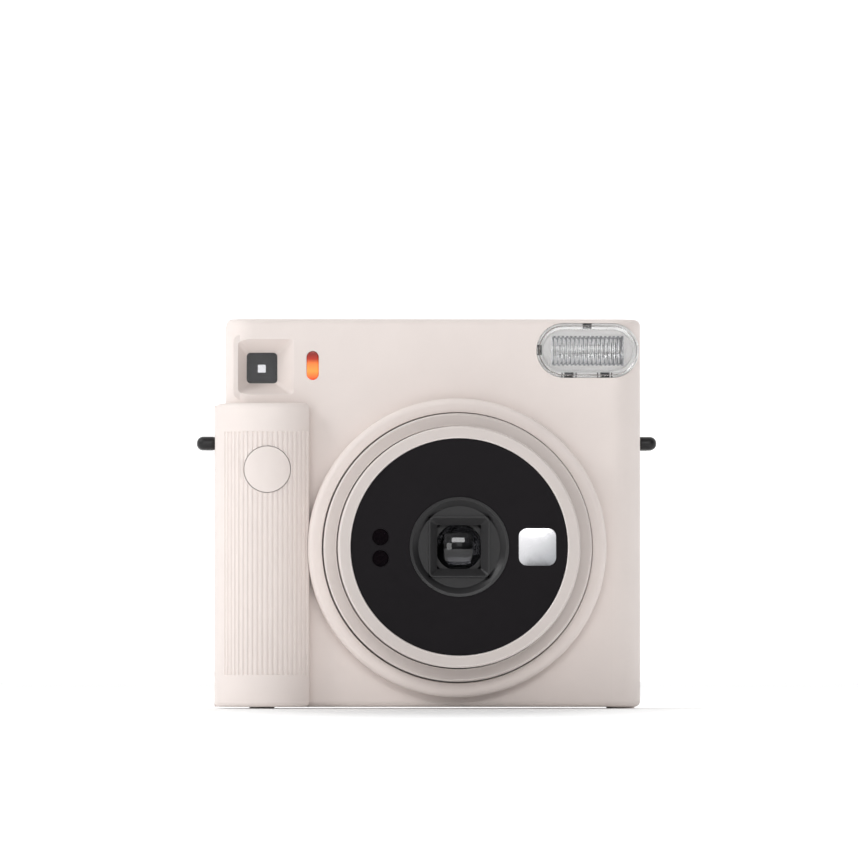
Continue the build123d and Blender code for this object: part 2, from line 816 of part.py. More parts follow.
with BuildPart() as exit_seal:
    seal_low = body_top - wall - 1.1
    seal_left = lens_x - exit_half_width - 1.0
    seal_right = lens_x + exit_half_width + 1.0
    block((seal_left, film_y - 3.4, seal_low), (seal_right, film_y - 1.9, body_top - wall))
    block((seal_left, film_y - 1.9, seal_low), (seal_right, film_y + 0.2, seal_low + 0.4))

# ---------------------------------------------------------------- rollers and their drive
roller_left = lens_x - 38.4
roller_right = lens_x + 38.4
plate_left = roller_left - 2.0
plate_right = roller_right + 0.5
plate_thickness = 1.5
front_roller_y = film_y - roller_half_gap
rear_roller_y = film_y + roller_half_gap
gear_plane_x = plate_left - 0.9
gear_thickness = 2.6
roller_teeth = 16
idler_teeth = 22
pinion_teeth = 10
idler_angle = 205
idler_reach = gear_module * (roller_teeth + idler_teeth) / 2
idler_y = front_roller_y + idler_reach * cos(radians(idler_angle))
idler_z = roller_z + idler_reach * sin(radians(idler_angle))
pinion_y = idler_y
pinion_z = idler_z - gear_module * (idler_teeth + pinion_teeth) / 2
journal_radius = 1.6

with BuildPart() as roller_frame:
    for low in (plate_left, plate_right):
        block((low, 6.9, chamber_top + 0.1), (low + plate_thickness, 24, 114.8))
    block((plate_left, -3.2, 93), (plate_left + plate_thickness, 6.9, 109.5))
    block((plate_left, 6.9, 114.2), (plate_right + plate_thickness, 9.2, 115.0))
    for roller_y in (front_roller_y, rear_roller_y):
        rod_x(roller_y, roller_z, plate_left - 1, plate_right + 3, journal_radius + 0.9, Mode.SUBTRACT)
    rod_x(pinion_y, pinion_z, plate_left - 1, plate_left + 3, 2.6, Mode.SUBTRACT)
    # fixed post of the idler gear
    rod_x(idler_y, idler_z, gear_plane_x - gear_thickness - 0.4, plate_left, 1.2)

with BuildPart() as roller_bushes:
    for roller_y in (front_roller_y, rear_roller_y):
        for low in (plate_left, plate_right):
            rod_x(roller_y, roller_z, low, low + plate_thickness, journal_radius + 0.88)
            high = low + plate_thickness
            rod_x(roller_y, roller_z, low - 1, high + 1, journal_radius + 0.05, Mode.SUBTRACT)


def gear_at(teeth, phase, bore, y, z):
    """Gear of the roller drive, centred on (y, z), on the outer side of the frame."""
    plane = Plane(
        origin=(gear_plane_x - gear_thickness, y, z),
        x_dir=(0, 1, 0),
        z_dir=(1, 0, 0),
    )
    return gear(teeth, phase, gear_thickness, bore, plane)


# each gear's phase puts a tooth of one between two teeth of the next
front_phase = idler_angle
rear_phase = 180 + 180 / roller_teeth - idler_angle % (360 / roller_teeth)
idler_phase = idler_angle + 180 + 180 / idler_teeth
idler_shift = (idler_phase - 270) % (360 / idler_teeth)
pinion_phase = 90 + 180 / pinion_teeth - idler_shift * idler_teeth / pinion_teeth

with BuildPart() as drive_roller:
    rod_x(front_roller_y, roller_z, roller_left, roller_right, roller_radius)
    rod_x(front_roller_y, roller_z, gear_plane_x - gear_thickness, plate_right + 2.2, journal_radius)
    add(gear_at(roller_teeth, front_phase, 0, front_roller_y, roller_z))

with BuildPart() as pressure_roller:
    rod_x(rear_roller_y, roller_z, roller_left, roller_right, roller_radius)
    rod_x(rear_roller_y, roller_z, gear_plane_x - gear_thickness, plate_right + 2.2, journal_radius)
    add(gear_at(roller_teeth, rear_phase, 0, rear_roller_y, roller_z))

with BuildPart() as idler_gear:
    add(gear_at(idler_teeth, idler_phase, 1.25, idler_y, idler_z))

with BuildPart() as motor_pinion:
    add(gear_at(pinion_teeth, pinion_phase, 0, pinion_y, pinion_z))
    rod_x(pinion_y, pinion_z, gear_plane_x, plate_left + plate_thickness, 0.75)

with BuildPart() as drive_motor:
    motor_face = plate_left + plate_thickness
    rod_x(pinion_y, pinion_z, motor_face, motor_face + 24, 5.9)
    fillet(drive_motor.edges().filter_by(GeomType.CIRCLE), radius=0.5)
    rod_x(pinion_y, pinion_z, motor_face + 24, motor_face + 25.4, 2.4)

# ---------------------------------------------------------------- film door
with BuildPart() as film_door:
    block(
        (door_left, back_y - door_thickness, door_bottom),
        (door_hinge_x, back_y, door_top),
    )
    fillet(
        [
            edge
            for edge in film_door.faces().sort_by(Axis.Y)[-1].edges()
            if edge.center().X < door_hinge_x - 0.1
        ],
        radius=0.5,
    )
    rod_z(door_hinge_x, back_y - hinge_radius, door_bottom, door_top, hinge_radius)
    rod_z(door_hinge_x, back_y - hinge_radius, door_bottom - 1, door_top + 1, 0.85, Mode.SUBTRACT)
    # window to see whether a film pack is in
    with BuildSketch(facing(back_y + 1, 28, 54)):
        RectangleRounded(9.2, 20.2, 1.5)
    extrude(amount=4, mode=Mode.SUBTRACT)
    # slot for the latch
    block((-33.6, back_y - 3, 46.4), (-28.4, back_y + 1, 60.4), Mode.SUBTRACT)

with BuildPart() as door_window:
    with BuildSketch(facing(back_y - 0.3, 28, 54)):
        RectangleRounded(9.0, 20.0, 1.4)
    extrude(amount=1.7)

with BuildPart() as pack_springs:
    for spring_z in (30, 78):
        block((0, back_y - 2.5, spring_z - 3), (16, back_y - 2.0, spring_z + 3))
        block((4, back_y - 4.4, spring_z - 2), (14, back_y - 3.9, spring_z + 2))
        block((4, back_y - 4.4, spring_z - 2), (4.6, back_y - 2.5, spring_z + 2))

with BuildPart() as door_latch:
    block((-33.3, back_y - 2.2, 50.1), (-28.7, back_y - 0.2, 60.1))
    block((-35.2, back_y - 3.3, 48.6), (-27.6, back_y - 2.2, 60.1))
    for ridge_z in (52.5, 54.5, 56.5):
        block((-32.6, back_y - 0.2, ridge_z - 0.4), (-29.4, back_y, ridge_z + 0.4))

with BuildPart() as door_hinge_pin:
    rod_z(door_hinge_x, back_y - hinge_radius, 1.7, 107.2, 0.8)

# ---------------------------------------------------------------- battery bay
with BuildPart() as battery_door:
    block(
        (grip_left, battery_door_front, battery_door_bottom + 1.6),
        (grip_left + wall, battery_door_back, battery_door_top),
    )
    rod_y(battery_hinge_x, battery_hinge_z, battery_door_front + 0.2, battery_door_back - 0.2, 1.6)
    rod_y(battery_hinge_x, battery_hinge_z, 0, 20, 0.65, Mode.SUBTRACT)
    # thumb groove near the top
    for groove_z in (70, 71.6, 73.2):
        block(
            (grip_left - 1, battery_door_front + 4, groove_z - 0.35),
            (grip_left + 0.4, battery_door_back - 4, groove_z + 0.35),
            Mode.SUBTRACT,
        )

with BuildPart() as battery_door_pin:
    rod_y(battery_hinge_x, battery_hinge_z, -0.6, 20.0, 0.6)

with BuildPart() as battery_holder:
    block((-61.2, battery_y - 9.3, 14), (-43.9, battery_y + 9.3, 74.6))
    block((-62, battery_y - 8.1, 15.2), (-45.1, battery_y + 8.1, 73.4), Mode.SUBTRACT)

with BuildPart() as battery_contacts:
    for low in (15.2, 72.9):
        block((battery_x - 5, battery_y - 5, low), (battery_x + 5, battery_y + 5, low + 0.5))
    rod_z(battery_x, battery_y, 72.2, 72.9, 2.5)
    rod_z(battery_x, battery_y, 15.7, 16.4, 3.5)

# ---------------------------------------------------------------- electronics, film counter
with BuildPart() as main_board:
    block((51.4, 0, 6), (52.6, 28, 96))
    for chip_z, chip_size in ((60, 9), (76, 6), (88, 5)):
        block((52.6, 12, chip_z), (53.9, 12 + chip_size, chip_z + chip_size))

with BuildPart() as counter_dial:
    rod_y(counter_x, counter_z - 4.5, 28.4, 29.4, 7.6)
    rod_y(counter_x, counter_z - 4.5, 27.2, 28.4, 2.0)

with BuildPart() as counter_window:
    with BuildSketch(facing(back_y - 0.3, counter_x, counter_z)):
        RectangleRounded(6.0, 5.0, 0.7)
    extrude(amount=1.7)

# ---------------------------------------------------------------- write the pieces
pieces = {
    "front_cover": front_cover,
    "rear_cover": rear_cover,
    "grip_cover": grip_cover,
    "lens_collar": lens_collar,
    "dial_retainer": dial_retainer,
    "base_feet": base_feet,
    "case_screws": case_screws,
    "strap_lug_left": strap_lug_left,
    "strap_lug_right": strap_lug_right,
    "viewfinder_window": viewfinder_window,
    "viewfinder_tunnel": viewfinder_tunnel,
    "eyepiece_frame": eyepiece_frame,
    "eyepiece_lens": eyepiece_lens,
    "indicator_window": indicator_window,
    "indicator_lamp": indicator_lamp,
    "flash_window": flash_window,
    "flash_holder": flash_holder,
    "flash_reflector": flash_reflector,
    "flash_tube": flash_tube,
    "flash_capacitor": flash_capacitor,
    "lens_dial": lens_dial,
    "barrel": barrel,
    "front_disc": front_disc,
    "lens_ring": lens_ring,
    "lens_hood": lens_hood,
    "selfie_mirror": selfie_mirror,
    "sensor_windows": sensor_windows,
    "cover_leaf_left": cover_leaf_left,
    "cover_leaf_right": cover_leaf_right,
    "shutter_plate": shutter_plate,
    "front_lens": front_lens,
    "rear_lens": rear_lens,
    "shutter_blade": shutter_blade,
    "shutter_solenoid": shutter_solenoid,
    "shutter_button": shutter_button,
    "shutter_spring": shutter_spring,
    "shutter_switch": shutter_switch,
    "film_chamber": film_chamber,
    "light_cone": light_cone,
    "pick_claw": pick_claw,
    "exit_seal": exit_seal,
    "roller_frame": roller_frame,
    "roller_bushes": roller_bushes,
    "drive_roller": drive_roller,
    "pressure_roller": pressure_roller,
    "idler_gear": idler_gear,
    "motor_pinion": motor_pinion,
    "drive_motor": drive_motor,
    "film_door": film_door,
    "door_window": door_window,
    "pack_springs": pack_springs,
    "door_latch": door_latch,
    "door_hinge_pin": door_hinge_pin,
    "battery_door": battery_door,
    "battery_door_pin": battery_door_pin,
    "battery_holder": battery_holder,
    "battery_contacts": battery_contacts,
    "main_board": main_board,
    "counter_dial": counter_dial,
    "counter_window": counter_window,
}

os.makedirs("parts", exist_ok=True)
for name, piece in pieces.items():
    piece.part.label = name
    export_step(piece.part, f"parts/{name}.step")
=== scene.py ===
import math

import bmesh
import bpy
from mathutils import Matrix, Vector


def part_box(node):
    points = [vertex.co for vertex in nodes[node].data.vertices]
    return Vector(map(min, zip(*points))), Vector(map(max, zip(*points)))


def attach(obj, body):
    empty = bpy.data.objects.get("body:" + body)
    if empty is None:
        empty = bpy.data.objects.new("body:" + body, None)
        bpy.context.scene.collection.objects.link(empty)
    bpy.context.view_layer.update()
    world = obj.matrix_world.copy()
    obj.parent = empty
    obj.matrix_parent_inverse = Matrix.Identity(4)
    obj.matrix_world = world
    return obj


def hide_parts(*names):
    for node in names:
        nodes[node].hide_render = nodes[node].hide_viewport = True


# The camera stands on Z = 0 and faces -Y. Materials take sizes in the arguments named _mm. Pieces are drawn
# in millimetres and turned into metres by MM. The studio, and boxes from the frame, are in metres.
MM = 0.001

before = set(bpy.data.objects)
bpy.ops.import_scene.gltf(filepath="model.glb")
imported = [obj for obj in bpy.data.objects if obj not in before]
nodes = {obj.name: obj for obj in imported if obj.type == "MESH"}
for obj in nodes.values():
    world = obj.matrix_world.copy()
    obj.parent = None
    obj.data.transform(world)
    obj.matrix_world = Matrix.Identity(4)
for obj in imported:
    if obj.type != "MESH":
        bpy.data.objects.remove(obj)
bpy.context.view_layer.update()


# ---------------------------------------------------------------- material helpers


class Finish:
    """One node material: a Principled shader with procedural textures wired into it."""

    def __init__(self, name, **constants):
        self.material = bpy.data.materials.new(name)
        self.material.use_nodes = True
        self.tree = self.material.node_tree
        self.shader = self.tree.nodes["Principled BSDF"]
        self.place = self.node("ShaderNodeTexCoord").outputs["Object"]
        self.relief = None
        for socket, value in constants.items():
            self.shader.inputs[socket.replace("_", " ")].default_value = value

    def node(self, kind, **settings):
        made = self.tree.nodes.new(kind)
        for key, value in settings.items():
            setattr(made, key, value)
        return made

    def link(self, output, socket):
        self.tree.links.new(output, socket)

    def noise(self, size_mm, detail=3.0, stretch=(1, 1, 1)):
        """Noise whose blobs are about size_mm across, drawn out along the axes by stretch."""
        mapping = self.node("ShaderNodeMapping")
        mapping.inputs["Scale"].default_value = [1 / s for s in stretch]
        self.link(self.place, mapping.inputs["Vector"])
        made = self.node("ShaderNodeTexNoise")
        made.inputs["Scale"].default_value = 1 / (size_mm * MM)
        made.inputs["Detail"].default_value = detail
        self.link(mapping.outputs["Vector"], made.inputs["Vector"])
        return made.outputs["Fac"]

    def scratches(self, size_mm, stretch):
        """Long thin marks: noise stretched far along one axis, cut to its highest lines."""
        ramp = self.node("ShaderNodeMapRange")
        ramp.inputs["From Min"].default_value = 0.62
        ramp.inputs["From Max"].default_value = 0.7
        self.link(self.noise(size_mm, 2.0, stretch), ramp.inputs["Value"])
        return ramp.outputs["Result"]

    def stripes(self, pitch_mm, axis):
        """A soft wave along one axis, once every pitch_mm."""
        wave = self.node("ShaderNodeTexWave", bands_direction=axis, wave_profile="SIN")
        wave.inputs["Scale"].default_value = math.pi / (10 * pitch_mm * MM)
        self.link(self.place, wave.inputs["Vector"])
        return wave.outputs["Fac"]

    def colour(self, factor, low, high, start=0.35, end=0.65):
        """Base colour that runs from low to high as factor goes from start to end."""
        ramp = self.node("ShaderNodeValToRGB")
        ramp.color_ramp.elements[0].position = start
        ramp.color_ramp.elements[1].position = end
        ramp.color_ramp.elements[0].color = (*low, 1)
        ramp.color_ramp.elements[1].color = (*high, 1)
        self.link(factor, ramp.inputs["Fac"])
        self.link(ramp.outputs["Color"], self.shader.inputs["Base Color"])
        return ramp.outputs["Color"]

    def wear_and_highlight_edges(self, base, edge_colour, radius_mm, share):
        """Mixes edge_colour into the base colour where the surface turns within radius_mm: worn edges on most
        parts, a painted rim highlight on the lens rings.
        """
        bevel = self.node("ShaderNodeBevel", samples=4)
        bevel.inputs["Radius"].default_value = radius_mm * MM
        flat = self.node("ShaderNodeNewGeometry")
        turn = self.node("ShaderNodeVectorMath", operation="DOT_PRODUCT")
        self.link(bevel.outputs["Normal"], turn.inputs[0])
        self.link(flat.outputs["Normal"], turn.inputs[1])
        amount = self.node("ShaderNodeMapRange")
        amount.inputs["From Min"].default_value = 1.0
        amount.inputs["From Max"].default_value = 0.9
        amount.inputs["To Max"].default_value = share
        self.link(turn.outputs["Value"], amount.inputs["Value"])
        mix = self.node("ShaderNodeMix", data_type="RGBA")
        mix.inputs["B"].default_value = (*edge_colour, 1)
        self.link(amount.outputs["Result"], mix.inputs["Factor"])
        self.link(base, mix.inputs["A"])
        self.link(mix.outputs["Result"], self.shader.inputs["Base Color"])

    def roughness(self, factor, low, high):
        spread = self.node("ShaderNodeMapRange")
        spread.inputs["From Min"].default_value = 0.3
        spread.inputs["From Max"].default_value = 0.7
        spread.inputs["To Min"].default_value = low
        spread.inputs["To Max"].default_value = high
        self.link(factor, spread.inputs["Value"])
        self.link(spread.outputs["Result"], self.shader.inputs["Roughness"])

    def bump(self, factor, height_mm, strength=1.0):
        """Adds relief of height_mm on top of the relief made so far."""
        made = self.node("ShaderNodeBump")
        made.inputs["Distance"].default_value = height_mm * MM
        made.inputs["Strength"].default_value = strength
        self.link(factor, made.inputs["Height"])
        if self.relief is not None:
            self.link(self.relief, made.inputs["Normal"])
        self.relief = made.outputs["Normal"]
        self.link(self.relief, self.shader.inputs["Normal"])


def shade(colour, share):
    return tuple(min(1.0, channel * share) for channel in colour)


def moulded(name, colour, rough, grain_mm=0.25, grain_height_mm=0.006, drift=0.03, specular=0.4, edge_colour=None):
    """Moulded plastic: faint colour drift, spark-eroded grain, uneven gloss, and rubbed edges."""
    finish = Finish(name, Specular_IOR_Level=specular)
    base = finish.colour(finish.noise(14), shade(colour, 1 - drift), shade(colour, 1 + drift))
    if edge_colour is not None:
        finish.wear_and_highlight_edges(base, edge_colour, 0.35, 0.5)
    finish.roughness(finish.noise(3.0, 4.0), rough - 0.05, rough + 0.05)
    finish.bump(finish.noise(grain_mm, 2.0), grain_height_mm)
    return finish


def metal(name, colour, rough, brush_mm=0.05, stretch=(30, 1, 1)):
    """Bare metal with fine brushing along the stretched axis."""
    finish = Finish(name, Metallic=1.0)
    finish.colour(finish.noise(4.0), shade(colour, 0.93), shade(colour, 1.05))
    finish.roughness(finish.noise(0.6, 4.0, stretch), rough - 0.06, rough + 0.08)
    finish.bump(finish.noise(brush_mm, 2.0, stretch), 0.002)
    return finish


def clear(name, colour, ior, rough=0.02, wave_mm=0.0, specular=0.5):
    """Clear plastic or glass with faint unevenness in its gloss and surface."""
    finish = Finish(name, Transmission_Weight=1.0, IOR=ior, Specular_IOR_Level=specular)
    finish.colour(finish.noise(6.0), shade(colour, 0.985), colour)
    finish.roughness(finish.noise(1.5, 4.0), max(0.0, rough - 0.015), rough + 0.015)
    if wave_mm:
        finish.bump(finish.noise(3.0, 1.0), wave_mm)
    return finish


# ---------------------------------------------------------------- materials of the record's slots

CHALK = (0.80, 0.725, 0.69)
CHALK_RUBBED = (0.88, 0.82, 0.785)
# Painted highlight colour for the rims of the lens rings.
CHALK_RIM_HIGHLIGHT = (0.99, 0.93, 0.9)
BLACK = (0.012, 0.0115, 0.0125)


def shell_finish():
    finish = moulded("shell", CHALK, 0.5, 0.22, 0.007, 0.012, 0.35, edge_colour=CHALK_RUBBED)
    finish.bump(finish.noise(1.6, 2.0), 0.004)
    return finish


def ring_finish():
    """Shell plastic of the lens rings, with painted shade and painted highlights: a tone deeper than the
    shell, and bright rims.
    """
    finish = Finish("lens_rings", Specular_IOR_Level=0.35)
    base = finish.colour(finish.noise(14), shade(CHALK, 0.77), shade(CHALK, 0.79))
    finish.wear_and_highlight_edges(base, CHALK_RIM_HIGHLIGHT, 0.55, 1.0)
    finish.roughness(finish.noise(3.0, 4.0), 0.42, 0.5)
    finish.bump(finish.noise(0.22, 2.0), 0.005)
    return finish


def orange_finish():
    """Orange window that glows in its middle and darkens towards its top: a painted glow, and painted shade
    at the top.
    """
    finish = Finish("orange_lens", Transmission_Weight=0.1, IOR=1.49, Emission_Strength=0.45)
    low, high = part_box("indicator_window")
    height = finish.node("ShaderNodeSeparateXYZ")
    finish.link(finish.place, height.inputs["Vector"])
    share = finish.node("ShaderNodeMapRange")
    share.inputs["From Min"].default_value = low.z
    share.inputs["From Max"].default_value = high.z
    finish.link(height.outputs["Z"], share.inputs["Value"])
    colour = finish.colour(share.outputs["Result"], (0.85, 0.07, 0.02), (0.22, 0.015, 0.01), 0.0, 0.9)
    glow = colour.node.color_ramp.elements.new(0.3)
    glow.color = (0.9, 0.3, 0.06, 1)
    middle = colour.node.color_ramp.elements.new(0.55)
    middle.color = (0.8, 0.22, 0.05, 1)
    painted_top_shade = colour.node.color_ramp.elements.new(0.72)
    painted_top_shade.color = (0.4, 0.03, 0.015, 1)
    # Painted glow: the window gives off its own gradient of colour.
    finish.link(colour, finish.shader.inputs["Emission Color"])
    finish.roughness(finish.noise(0.8), 0.12, 0.22)
    return finish


def lamp_finish():
    finish = Finish("lamp", Emission_Strength=2.0)
    colour = finish.colour(finish.noise(1.0), (1.0, 0.45, 0.15), (1.0, 0.6, 0.3))
    finish.link(colour, finish.shader.inputs["Emission Color"])
    finish.roughness(finish.noise(0.5), 0.3, 0.4)
    return finish


def shaded_lens_glass_finish():
    """Lens glass: clear, with crisp reflections, and tinted dark as painted shade for the dark inside of the
    lens.
    """
    finish = Finish("lens_glass", Transmission_Weight=1.0, IOR=1.52, Roughness=0.0, Specular_IOR_Level=0.15)
    # Painted shade: the dark tint stands in for the dark inside of the lens.
    finish.colour(finish.noise(8.0), (0.14, 0.14, 0.155), (0.16, 0.16, 0.175))
    return finish


def sensor_finish():
    finish = Finish("sensor_window", Specular_IOR_Level=0.08)
    finish.colour(finish.noise(1.0), (0.002, 0.001, 0.002), (0.004, 0.002, 0.003))
    finish.roughness(finish.noise(0.6), 0.08, 0.16)
    return finish


def mirror_finish():
    """Silver with a painted reflection: a tone from grey at the lower right to bright at the upper left, in
    place of a lit room.
    """
    finish = Finish("mirror", Metallic=1.0)
    low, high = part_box("selfie_mirror")
    rise = 1.3
    painted_reflection_slope = finish.node("ShaderNodeVectorMath", operation="DOT_PRODUCT")
    painted_reflection_slope.inputs[1].default_value = (-1.0, 0.0, rise)
    finish.link(finish.place, painted_reflection_slope.inputs[0])
    share = finish.node("ShaderNodeMapRange")
    share.inputs["From Min"].default_value = rise * low.z - high.x
    share.inputs["From Max"].default_value = rise * high.z - low.x
    finish.link(painted_reflection_slope.outputs["Value"], share.inputs["Value"])
    # Painted reflection: the colour runs from grey at the lower right to bright at the upper left.
    finish.colour(share.outputs["Result"], (0.42, 0.43, 0.45), (0.97, 0.96, 0.98), 0.1, 0.95)
    finish.roughness(finish.noise(2.0), 0.08, 0.13)
    return finish


def reflector_finish():
    """Ribbed foil with painted sheen and shade running dark to bright with its ribs, and a faint painted glow
    that stands in for light gathered by the window in front.
    """
    finish = Finish("reflector", Metallic=1.0, Emission_Strength=0.12)
    ribs = finish.stripes(1.3, "X")
    # Painted sheen and shade along the ribs, which the foil also gives off as a painted glow.
    painted_rib_sheen = finish.colour(ribs, (0.3, 0.3, 0.32), (0.95, 0.95, 0.95), 0.2, 0.8)
    finish.link(painted_rib_sheen, finish.shader.inputs["Emission Color"])
    finish.roughness(finish.noise(0.7, 3.0), 0.25, 0.35)
    finish.bump(ribs, 0.1)
    return finish


def circuit_board_finish():
    finish = Finish("circuit_board", Specular_IOR_Level=0.5)
    board = finish.colour(finish.stripes(1.3, "X"), (0.008, 0.075, 0.035), (0.02, 0.13, 0.06), 0.45, 0.55)
    finish.wear_and_highlight_edges(board, (0.5, 0.42, 0.2), 0.2, 0.4)
    finish.roughness(finish.noise(1.0), 0.25, 0.4)
    finish.bump(finish.stripes(1.3, "X"), 0.02)
    return finish


def flash_white_finish():
    """White plastic round the flash tube, with a faint painted glow that stands in for light scattered inside
    it.
    """
    finish = moulded("flash_white", (0.77, 0.76, 0.755), 0.35, 0.3, 0.004)
    # Painted glow: the white plastic gives off a little light of its own.
    finish.shader.inputs["Emission Color"].default_value = (1.0, 0.99, 0.98, 1.0)
    finish.shader.inputs["Emission Strength"].default_value = 0.1
    return finish


def rubber_finish():
    finish = moulded("rubber", (0.03, 0.03, 0.03), 0.8, 0.3, 0.02, 0.1, 0.2)
    finish.bump(finish.noise(0.08, 2.0), 0.01)
    return finish


def steel_finish():
    finish = metal("steel", (0.62, 0.62, 0.63), 0.28)
    finish.bump(finish.scratches(0.1, (40, 1, 1)), 0.002)
    return finish


finishes = {
    "shell": shell_finish(),
    "black_plastic": moulded("black_plastic", BLACK, 0.38, specular=0.36, edge_colour=(0.04, 0.04, 0.042)),
    "black_panel": moulded("black_panel", (0.0085, 0.007, 0.0085), 0.34, 0.12, 0.0015, 0.03, 0.08),
    "dark_window": clear("dark_window", (0.74, 0.74, 0.76), 1.49, 0.015, specular=0.1),
    "clear_plastic": clear("clear_plastic", (1.0, 1.0, 1.0), 1.4, 0.01),
    "lens_glass": shaded_lens_glass_finish(),
    "orange_lens": orange_finish(),
    "lamp": lamp_finish(),
    "mirror": mirror_finish(),
    "reflector": reflector_finish(),
    "white_plastic": moulded("white_plastic", (0.8, 0.79, 0.77), 0.4, 0.3, 0.005),
    "tube_glass": clear("tube_glass", (1.0, 1.0, 1.0), 1.45, 0.02),
    "capacitor_sleeve": moulded("capacitor_sleeve", (0.02, 0.022, 0.05), 0.3, 0.6, 0.01, 0.1),
    "steel": steel_finish(),
    "spring_leaf": metal("spring_leaf", (0.09, 0.09, 0.095), 0.38),
    "contact_metal": metal("contact_metal", (0.74, 0.73, 0.7), 0.22, 0.04, (1, 1, 25)),
    "gear_plastic": moulded("gear_plastic", (0.7, 0.69, 0.64), 0.38, 0.4, 0.006),
    "rubber": rubber_finish(),
    "circuit_board": circuit_board_finish(),
}

for node in nodes.values():
    for place in node.material_slots:
        place.material = finishes[place.material.name].material
nodes["sensor_windows"].material_slots[0].material = sensor_finish().material
# The lens dial and barrel get the ring finish: painted shade in a tone deeper than the shell, and painted rim
# highlights.
RING_MATERIAL = ring_finish().material
for name in ("lens_dial", "barrel"):
    nodes[name].material_slots[0].material = RING_MATERIAL


# ---------------------------------------------------------------- mesh helpers


def rounded(centre, width, height, radius, y, per_corner=10):
    """Points of an upright rounded rectangle at depth y, seen from the front. Sizes in mm."""
    points = []
    corners = ((1, 1), (-1, 1), (-1, -1), (1, -1))
    for quarter, (side, rise) in enumerate(corners):
        for step in range(per_corner):
            angle = (quarter + step / (per_corner - 1)) * math.pi / 2
            x = centre[0] + side * (width / 2 - radius) + radius * math.cos(angle)
            z = centre[1] + rise * (height / 2 - radius) + radius * math.sin(angle)
            points.append((x * MM, y * MM, z * MM))
    return points


def loft(drawing, loops, first_cap=False, last_cap=False):
    """Joins loops of equally many points with quads, and closes the chosen ends."""
    rows = [[drawing.verts.new(point) for point in loop] for loop in loops]
    for near, far in zip(rows, rows[1:]):
        for index in range(len(near)):
            following = (index + 1) % len(near)
            drawing.faces.new((near[index], near[following], far[following], far[index]))
    if first_cap:
        drawing.faces.new(rows[0])
    if last_cap:
        drawing.faces.new(rows[-1])


def piece(name, drawing, slot, body, finish=None):
    """Turns a drawing into a smooth-shaded object that rides on a CAD body."""
    bmesh.ops.remove_doubles(drawing, verts=drawing.verts, dist=1e-7)
    bmesh.ops.recalc_face_normals(drawing, faces=drawing.faces)
    for face in drawing.faces:
        face.smooth = True
    for edge in drawing.edges:
        edge.smooth = len(edge.link_faces) == 2 and edge.calc_face_angle() < math.radians(40)
    mesh = bpy.data.meshes.new(name)
    drawing.to_mesh(mesh)
    drawing.free()
    mesh.materials.append((finish or finishes[slot]).material)
    made = bpy.data.objects.new(name, mesh)
    bpy.context.scene.collection.objects.link(made)
    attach(made, body)
    return made


def centre_mm(node):
    """Middle of a CAD node's box as (x, z), in mm."""
    low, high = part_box(node)
    return ((low.x + high.x) / 2 / MM, (low.z + high.z) / 2 / MM)


# ---------------------------------------------------------------- flash

FLASH = centre_mm("flash_window")
FLASH_LOW, FLASH_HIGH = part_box("flash_window")
FLASH_WIDTH_MM = (FLASH_HIGH.x - FLASH_LOW.x) / MM
FLASH_HEIGHT_MM = (FLASH_HIGH.z - FLASH_LOW.z) / MM
FLASH_WHITE_PAINTED_GLOW = flash_white_finish()
OPENING_WIDTH_MM = 22.4
OPENING_HEIGHT_MM = 9.1


def flash_loops(steps):
    """Stadium loops of the flash window's outline, one for each (inset, y) in mm."""
    loops = []
    for inset, y in steps:
        height = FLASH_HEIGHT_MM - 2 * inset
        loops.append(rounded(FLASH, FLASH_WIDTH_MM - 2 * inset, height, height / 2 - 0.001, y, 16))
    return loops


def flash_pane():
    """Clear cover with a softly rounded rim, open at the back."""
    drawing = bmesh.new()
    front = [(2.6, -7.3), (1.2, -7.28), (0.6, -7.15), (0.2, -6.9), (0.03, -6.5), (0.0, -6.0)]
    back = [(0.0, -5.7), (0.8, -5.7), (1.0, -6.3), (2.6, -6.4)]
    loft(drawing, flash_loops(front + back), first_cap=True, last_cap=True)
    made = piece("flash_pane", drawing, "clear_plastic", "camera_body")
    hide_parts("flash_window")


def flash_bezel():
    """White rim behind the clear cover, with a fine groove round it."""
    drawing = bmesh.new()
    steps = [(0.05, -3.4), (0.05, -5.45), (0.75, -5.5), (0.85, -5.15), (1.0, -5.15), (1.1, -5.5)]
    steps += [(1.75, -5.5), (1.95, -5.3), (2.05, -3.4)]
    loft(drawing, flash_loops(steps))
    piece("flash_bezel", drawing, "white_plastic", "camera_body", FLASH_WHITE_PAINTED_GLOW)


def flash_tray():
    """White tray that closes the space between the rim and the reflector's opening."""
    drawing = bmesh.new()
    height = OPENING_HEIGHT_MM
    loops = flash_loops([(1.9, -2.4), (1.9, -3.4), (2.2, -3.5)])
    for wider, y in ((0.9, -3.5), (0.7, -4.3), (0.1, -4.35), (0.0, -4.2), (0.0, -2.4)):
        loops.append(rounded(FLASH, OPENING_WIDTH_MM + wider, height + wider, 0.3, y, 16))
    loft(drawing, loops)
    made = piece("flash_tray", drawing, "white_plastic", "camera_body", FLASH_WHITE_PAINTED_GLOW)
    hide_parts("flash_holder")


